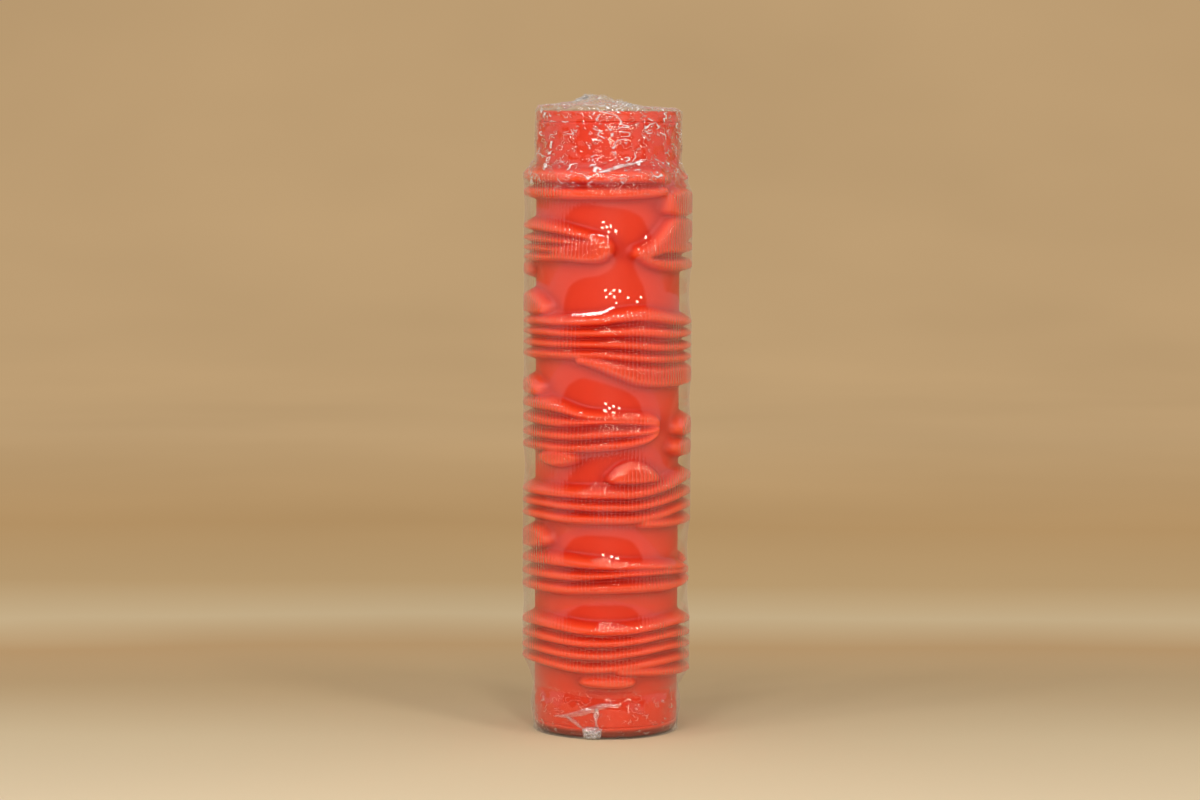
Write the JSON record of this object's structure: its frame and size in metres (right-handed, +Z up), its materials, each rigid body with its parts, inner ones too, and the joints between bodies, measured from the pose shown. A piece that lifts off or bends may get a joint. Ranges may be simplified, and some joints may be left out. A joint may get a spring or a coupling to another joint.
{
  "type": "clay texture roller",
  "caption": "Hollow roller with bark-like ridges for printing texture into clay, with end caps, turning axle bushes and a clear shrink-film wrap.",
  "frame": {"origin": "on the roller's axis, at the surface that its lower end stands on", "axes": "+Z up along the roller's axis, -Y towards the viewer of the picture, +X to the right"},
  "size_m": [0.0498, 0.0498, 0.1857],
  "materials": {
    "sleeve": "satin orange-red moulded rubber",
    "core": "plain extruded tube",
    "cap": "satin orange-red moulding",
    "bush": "natural nylon",
    "film": "clear glossy shrink film"
  },
  "bodies": {
    "roller": {"texture_sleeve": "sleeve", "core_tube": "core", "top_end_cap": "cap", "bottom_end_cap": "cap", "film_side": "film", "film_top_ruffle": "film", "film_bottom_hem": "film"},
    "top_bush": {"top_axle_bush": "bush"},
    "bottom_bush": {"bottom_axle_bush": "bush"}
  },
  "joints": [
    {"name": "top_bush_spin", "type": "hinge", "parent": "roller", "child": "top_bush", "pos_m": [0, 0, 0.1722], "axis": [0, 0, 1], "continuous": true},
    {"name": "bottom_bush_spin", "type": "hinge", "parent": "roller", "child": "bottom_bush", "pos_m": [0, 0, 0.008], "axis": [0, 0, 1], "continuous": true}
  ]
}
